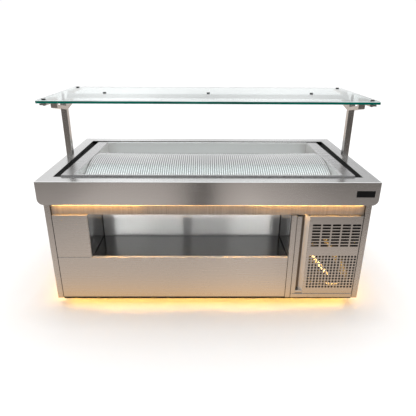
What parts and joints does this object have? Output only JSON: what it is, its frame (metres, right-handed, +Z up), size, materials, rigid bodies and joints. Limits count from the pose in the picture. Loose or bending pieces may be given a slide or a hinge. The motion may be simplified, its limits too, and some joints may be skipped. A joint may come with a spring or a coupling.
{
  "type": "cold buffet island",
  "caption": "Free-standing stainless cold buffet island with a crowned ribbed display bed, glass shelf on posts, open niche, perforated machine door and warm light strips.",
  "frame": {"origin": "centre of the footprint on the floor", "axes": "+X to the right seen from the side with the machine door, +Y to the back, +Z up"},
  "size_m": [2, 1.1215, 1.301],
  "materials": {
    "worktop_steel": "satin",
    "panel_steel": "satin",
    "niche_steel": "satin",
    "header_steel": "satin",
    "deck_steel": "polished",
    "bed_steel": "satin",
    "post_steel": "satin",
    "bright_metal": "polished",
    "inner_sheet": "satin",
    "black_gloss": "gloss",
    "black_plastic": "matte",
    "black_paint": "satin",
    "shelf_glass": "polished",
    "clear_pad": "satin",
    "aluminium": "satin",
    "opal": "matte",
    "warm_led": "matte",
    "foam": "matte",
    "pipe_foam": "matte",
    "copper": "satin",
    "valve_metal": "satin",
    "lever_coat": "satin",
    "grey_plastic": "matte",
    "rocker_plastic": "gloss",
    "foot_metal": "satin"
  },
  "bodies": {
    "island": {"front_rim": "worktop_steel", "rear_rim": "worktop_steel", "left_rim": "worktop_steel", "right_rim": "worktop_steel", "badge_plate": "black_gloss", "well_liner": "deck_steel", "well_insulation": "foam", "air_ducts": "inner_sheet", "evaporator_coil": "aluminium", "evaporator_fan_plate": "inner_sheet", "drain_fitting": "valve_metal", "drain_valve": "valve_metal", "left_post": "post_steel", "right_post": "post_steel", "glass_shelf": "shelf_glass", "glass_bolts": "bright_metal", "glass_pads": "clear_pad", "light_bar": "aluminium", "light_bar_diffuser": "opal", "cabinet_frame": "black_paint", "base_plate": "black_paint", "led_strips": "warm_led", "left_side_panel": "panel_steel", "right_side_panel": "panel_steel", "front_header": "header_steel", "upper_left_panel": "panel_steel", "lower_front_panel": "panel_steel", "divider_post": "panel_steel", "door_sill": "panel_steel", "niche_wrap": "niche_steel", "niche_end_walls": "niche_steel", "rear_panels": "panel_steel", "power_inlet": "black_plastic", "door_pivots": "inner_sheet", "magnetic_catch": "inner_sheet", "unit_tray": "inner_sheet", "compressor": "black_paint", "fan_shroud": "inner_sheet", "fan_guard": "black_paint", "fan_motor": "black_paint", "condenser_coil": "aluminium", "suction_pipe": "pipe_foam", "copper_pipes": "copper", "control_box": "grey_plastic"},
    "machine_door": {"door_leaf": "panel_steel", "door_pull_channel": "panel_steel", "pull_end_cap": "black_plastic"},
    "bed": {"ribbed_bed": "bed_steel"},
    "left_grille": {"left_air_grille": "black_plastic"},
    "right_grille": {"right_air_grille": "black_plastic"},
    "condenser_fan": {"fan_blade": "black_plastic"},
    "front_evaporator_fan": {"evaporator_fan_rotor_front": "black_plastic"},
    "rear_evaporator_fan": {"evaporator_fan_rotor_rear": "black_plastic"},
    "drain_handle": {"drain_lever": "lever_coat"},
    "cooling_rocker": {"cooling_switch": "rocker_plastic"},
    "light_rocker": {"light_switch": "rocker_plastic"},
    "front_left_foot": {"foot_front_left": "foot_metal"},
    "front_right_foot": {"foot_front_right": "foot_metal"},
    "rear_left_foot": {"foot_rear_left": "foot_metal"},
    "rear_right_foot": {"foot_rear_right": "foot_metal"}
  },
  "joints": [
    {"name": "door_hinge", "type": "hinge", "parent": "island", "child": "machine_door", "pos_m": [0.927, -0.532, 0.37], "axis": [0, 0, 1], "range_deg": [0, 105]},
    {"name": "bed_lift", "type": "slide", "parent": "island", "child": "bed", "axis": [0, 0, 1], "range_m": [0, 0.25]},
    {"name": "left_grille_lift", "type": "slide", "parent": "island", "child": "left_grille", "axis": [0, 0, 1], "range_m": [0, 0.08]},
    {"name": "right_grille_lift", "type": "slide", "parent": "island", "child": "right_grille", "axis": [0, 0, 1], "range_m": [0, 0.08]},
    {"name": "condenser_fan_spin", "type": "hinge", "parent": "island", "child": "condenser_fan", "pos_m": [0.77, -0.456, 0.515], "axis": [0, 1, 0], "continuous": true},
    {"name": "front_evaporator_fan_spin", "type": "hinge", "parent": "island", "child": "front_evaporator_fan", "pos_m": [-0.41, -0.11, 0.771], "axis": [1, 0, 0], "continuous": true},
    {"name": "rear_evaporator_fan_spin", "type": "hinge", "parent": "island", "child": "rear_evaporator_fan", "pos_m": [-0.41, 0.11, 0.771], "axis": [1, 0, 0], "continuous": true},
    {"name": "drain_valve_turn", "type": "hinge", "parent": "island", "child": "drain_handle", "pos_m": [0.7, 0.25, 0.52], "axis": [0, 1, 0], "range_deg": [0, 90]},
    {"name": "cooling_switch_rock", "type": "hinge", "parent": "island", "child": "cooling_rocker", "pos_m": [0.577, -0.495, 0.51], "axis": [1, 0, 0], "range_deg": [0, 12]},
    {"name": "light_switch_rock", "type": "hinge", "parent": "island", "child": "light_rocker", "pos_m": [0.577, -0.495, 0.47], "axis": [1, 0, 0], "range_deg": [0, 12]},
    {"name": "front_left_foot_turn", "type": "hinge", "parent": "island", "child": "front_left_foot", "pos_m": [-0.8, -0.41, 0.05], "axis": [0, 0, 1], "continuous": true},
    {"name": "front_right_foot_turn", "type": "hinge", "parent": "island", "child": "front_right_foot", "pos_m": [0.8, -0.41, 0.05], "axis": [0, 0, 1], "continuous": true},
    {"name": "rear_left_foot_turn", "type": "hinge", "parent": "island", "child": "rear_left_foot", "pos_m": [-0.8, 0.41, 0.05], "axis": [0, 0, 1], "continuous": true},
    {"name": "rear_right_foot_turn", "type": "hinge", "parent": "island", "child": "rear_right_foot", "pos_m": [0.8, 0.41, 0.05], "axis": [0, 0, 1], "continuous": true}
  ]
}
